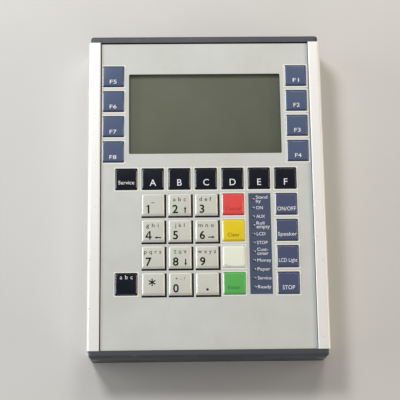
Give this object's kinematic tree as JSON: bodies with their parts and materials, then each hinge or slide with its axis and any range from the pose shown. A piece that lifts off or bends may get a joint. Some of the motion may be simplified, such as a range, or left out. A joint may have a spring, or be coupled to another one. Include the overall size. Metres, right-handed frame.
{
  "type": "numeric keypad",
  "caption": "Operator keypad with number, letter, command and function keys round a graphic display, in a rail and end cap housing.",
  "frame": {"origin": "middle of the flat rear face", "axes": "+X to the right across the face, +Y up the face towards the display, +Z out of the face"},
  "size_m": [0.17, 0.2366, 0.0312],
  "materials": {
    "rail_metal": "silver anodised, satin",
    "cap_plastic": "fine textured moulding",
    "cover_metal": "mill finish sheet",
    "plate_metal": "mill finish sheet",
    "overlay_film": "fine textured polyester film",
    "clear_window": "clear pane",
    "foam_rubber": "closed-cell foam",
    "bezel_steel": "black enamel on sheet steel",
    "display_glass": "grey-green liquid crystal cell",
    "light_guide": "diffusing acrylic",
    "circuit_board": "green solder resist",
    "dome_steel": "stainless snap domes",
    "led_body": "moulded lamp body",
    "light_lens": "dark tinted lens",
    "chip_plastic": "moulded package",
    "speaker_shell": "moulded shell",
    "connector_shell": "tin-plated shell",
    "cable_jacket": "grey flat cable",
    "post_brass": "turned posts",
    "screw_steel": "zinc-plated",
    "key_light": "printed polyester, embossed",
    "key_navy": "printed polyester, embossed",
    "key_blue": "printed polyester, embossed",
    "key_grey_blue": "printed polyester, embossed",
    "key_red": "printed polyester, embossed",
    "key_yellow": "printed polyester, embossed",
    "key_green": "printed polyester, embossed",
    "key_white": "printed polyester, embossed"
  },
  "bodies": {
    "chassis": {"left_rail": "rail_metal", "right_rail": "rail_metal", "top_end_cap": "cap_plastic", "bottom_end_cap": "cap_plastic", "rear_cover": "cover_metal", "front_plate": "plate_metal", "face_film": "overlay_film", "display_window": "clear_window", "display_gasket": "foam_rubber", "lcd_bezel": "bezel_steel", "lcd_glass": "display_glass", "lcd_backlight": "light_guide", "lcd_board": "circuit_board", "key_board": "circuit_board", "snap_domes": "dome_steel", "status_leds": "led_body", "status_light_lenses": "light_lens", "main_board": "circuit_board", "board_chips": "chip_plastic", "speaker": "speaker_shell", "data_connector": "connector_shell", "ribbon_cable": "cable_jacket", "board_posts": "post_brass", "housing_screws": "screw_steel"},
    "key_service": {"key_service": "key_navy"},
    "key_letter_a": {"key_letter_a": "key_navy"},
    "key_letter_b": {"key_letter_b": "key_navy"},
    "key_letter_c": {"key_letter_c": "key_navy"},
    "key_letter_d": {"key_letter_d": "key_navy"},
    "key_letter_e": {"key_letter_e": "key_navy"},
    "key_letter_f": {"key_letter_f": "key_navy"},
    "key_digit_0": {"key_digit_0": "key_light"},
    "key_digit_1": {"key_digit_1": "key_light"},
    "key_digit_2": {"key_digit_2": "key_light"},
    "key_digit_3": {"key_digit_3": "key_light"},
    "key_digit_4": {"key_digit_4": "key_light"},
    "key_digit_5": {"key_digit_5": "key_light"},
    "key_digit_6": {"key_digit_6": "key_light"},
    "key_digit_7": {"key_digit_7": "key_light"},
    "key_digit_8": {"key_digit_8": "key_light"},
    "key_digit_9": {"key_digit_9": "key_light"},
    "key_star": {"key_star": "key_light"},
    "key_point": {"key_point": "key_light"},
    "key_text_mode": {"key_text_mode": "key_navy"},
    "key_cancel": {"key_cancel": "key_red"},
    "key_clear": {"key_clear": "key_yellow"},
    "key_blank": {"key_blank": "key_white"},
    "key_enter": {"key_enter": "key_green"},
    "key_on_off": {"key_on_off": "key_blue"},
    "key_speaker": {"key_speaker": "key_blue"},
    "key_display_light": {"key_display_light": "key_blue"},
    "key_stop": {"key_stop": "key_blue"},
    "key_f1": {"key_f1": "key_grey_blue"},
    "key_f2": {"key_f2": "key_grey_blue"},
    "key_f3": {"key_f3": "key_grey_blue"},
    "key_f4": {"key_f4": "key_grey_blue"},
    "key_f5": {"key_f5": "key_grey_blue"},
    "key_f6": {"key_f6": "key_grey_blue"},
    "key_f7": {"key_f7": "key_grey_blue"},
    "key_f8": {"key_f8": "key_grey_blue"}
  },
  "joints": [
    {"name": "key_service_press", "type": "slide", "parent": "chassis", "child": "key_service", "axis": [0, 0, -1], "range_m": [0, 0.0007], "stiffness_N_per_m": 1500},
    {"name": "key_letter_a_press", "type": "slide", "parent": "chassis", "child": "key_letter_a", "axis": [0, 0, -1], "range_m": [0, 0.0007], "stiffness_N_per_m": 1500},
    {"name": "key_letter_b_press", "type": "slide", "parent": "chassis", "child": "key_letter_b", "axis": [0, 0, -1], "range_m": [0, 0.0007], "stiffness_N_per_m": 1500},
    {"name": "key_letter_c_press", "type": "slide", "parent": "chassis", "child": "key_letter_c", "axis": [0, 0, -1], "range_m": [0, 0.0007], "stiffness_N_per_m": 1500},
    {"name": "key_letter_d_press", "type": "slide", "parent": "chassis", "child": "key_letter_d", "axis": [0, 0, -1], "range_m": [0, 0.0007], "stiffness_N_per_m": 1500},
    {"name": "key_letter_e_press", "type": "slide", "parent": "chassis", "child": "key_letter_e", "axis": [0, 0, -1], "range_m": [0, 0.0007], "stiffness_N_per_m": 1500},
    {"name": "key_letter_f_press", "type": "slide", "parent": "chassis", "child": "key_letter_f", "axis": [0, 0, -1], "range_m": [0, 0.0007], "stiffness_N_per_m": 1500},
    {"name": "key_digit_0_press", "type": "slide", "parent": "chassis", "child": "key_digit_0", "axis": [0, 0, -1], "range_m": [0, 0.0007], "stiffness_N_per_m": 1500},
    {"name": "key_digit_1_press", "type": "slide", "parent": "chassis", "child": "key_digit_1", "axis": [0, 0, -1], "range_m": [0, 0.0007], "stiffness_N_per_m": 1500},
    {"name": "key_digit_2_press", "type": "slide", "parent": "chassis", "child": "key_digit_2", "axis": [0, 0, -1], "range_m": [0, 0.0007], "stiffness_N_per_m": 1500},
    {"name": "key_digit_3_press", "type": "slide", "parent": "chassis", "child": "key_digit_3", "axis": [0, 0, -1], "range_m": [0, 0.0007], "stiffness_N_per_m": 1500},
    {"name": "key_digit_4_press", "type": "slide", "parent": "chassis", "child": "key_digit_4", "axis": [0, 0, -1], "range_m": [0, 0.0007], "stiffness_N_per_m": 1500},
    {"name": "key_digit_5_press", "type": "slide", "parent": "chassis", "child": "key_digit_5", "axis": [0, 0, -1], "range_m": [0, 0.0007], "stiffness_N_per_m": 1500},
    {"name": "key_digit_6_press", "type": "slide", "parent": "chassis", "child": "key_digit_6", "axis": [0, 0, -1], "range_m": [0, 0.0007], "stiffness_N_per_m": 1500},
    {"name": "key_digit_7_press", "type": "slide", "parent": "chassis", "child": "key_digit_7", "axis": [0, 0, -1], "range_m": [0, 0.0007], "stiffness_N_per_m": 1500},
    {"name": "key_digit_8_press", "type": "slide", "parent": "chassis", "child": "key_digit_8", "axis": [0, 0, -1], "range_m": [0, 0.0007], "stiffness_N_per_m": 1500},
    {"name": "key_digit_9_press", "type": "slide", "parent": "chassis", "child": "key_digit_9", "axis": [0, 0, -1], "range_m": [0, 0.0007], "stiffness_N_per_m": 1500},
    {"name": "key_star_press", "type": "slide", "parent": "chassis", "child": "key_star", "axis": [0, 0, -1], "range_m": [0, 0.0007], "stiffness_N_per_m": 1500},
    {"name": "key_point_press", "type": "slide", "parent": "chassis", "child": "key_point", "axis": [0, 0, -1], "range_m": [0, 0.0007], "stiffness_N_per_m": 1500},
    {"name": "key_text_mode_press", "type": "slide", "parent": "chassis", "child": "key_text_mode", "axis": [0, 0, -1], "range_m": [0, 0.0007], "stiffness_N_per_m": 1500},
    {"name": "key_cancel_press", "type": "slide", "parent": "chassis", "child": "key_cancel", "axis": [0, 0, -1], "range_m": [0, 0.0007], "stiffness_N_per_m": 1500},
    {"name": "key_clear_press", "type": "slide", "parent": "chassis", "child": "key_clear", "axis": [0, 0, -1], "range_m": [0, 0.0007], "stiffness_N_per_m": 1500},
    {"name": "key_blank_press", "type": "slide", "parent": "chassis", "child": "key_blank", "axis": [0, 0, -1], "range_m": [0, 0.0007], "stiffness_N_per_m": 1500},
    {"name": "key_enter_press", "type": "slide", "parent": "chassis", "child": "key_enter", "axis": [0, 0, -1], "range_m": [0, 0.0007], "stiffness_N_per_m": 1500},
    {"name": "key_on_off_press", "type": "slide", "parent": "chassis", "child": "key_on_off", "axis": [0, 0, -1], "range_m": [0, 0.0007], "stiffness_N_per_m": 1500},
    {"name": "key_speaker_press", "type": "slide", "parent": "chassis", "child": "key_speaker", "axis": [0, 0, -1], "range_m": [0, 0.0007], "stiffness_N_per_m": 1500},
    {"name": "key_display_light_press", "type": "slide", "parent": "chassis", "child": "key_display_light", "axis": [0, 0, -1], "range_m": [0, 0.0007], "stiffness_N_per_m": 1500},
    {"name": "key_stop_press", "type": "slide", "parent": "chassis", "child": "key_stop", "axis": [0, 0, -1], "range_m": [0, 0.0007], "stiffness_N_per_m": 1500},
    {"name": "key_f1_press", "type": "slide", "parent": "chassis", "child": "key_f1", "axis": [0, 0, -1], "range_m": [0, 0.0007], "stiffness_N_per_m": 1500},
    {"name": "key_f2_press", "type": "slide", "parent": "chassis", "child": "key_f2", "axis": [0, 0, -1], "range_m": [0, 0.0007], "stiffness_N_per_m": 1500},
    {"name": "key_f3_press", "type": "slide", "parent": "chassis", "child": "key_f3", "axis": [0, 0, -1], "range_m": [0, 0.0007], "stiffness_N_per_m": 1500},
    {"name": "key_f4_press", "type": "slide", "parent": "chassis", "child": "key_f4", "axis": [0, 0, -1], "range_m": [0, 0.0007], "stiffness_N_per_m": 1500},
    {"name": "key_f5_press", "type": "slide", "parent": "chassis", "child": "key_f5", "axis": [0, 0, -1], "range_m": [0, 0.0007], "stiffness_N_per_m": 1500},
    {"name": "key_f6_press", "type": "slide", "parent": "chassis", "child": "key_f6", "axis": [0, 0, -1], "range_m": [0, 0.0007], "stiffness_N_per_m": 1500},
    {"name": "key_f7_press", "type": "slide", "parent": "chassis", "child": "key_f7", "axis": [0, 0, -1], "range_m": [0, 0.0007], "stiffness_N_per_m": 1500},
    {"name": "key_f8_press", "type": "slide", "parent": "chassis", "child": "key_f8", "axis": [0, 0, -1], "range_m": [0, 0.0007], "stiffness_N_per_m": 1500}
  ]
}
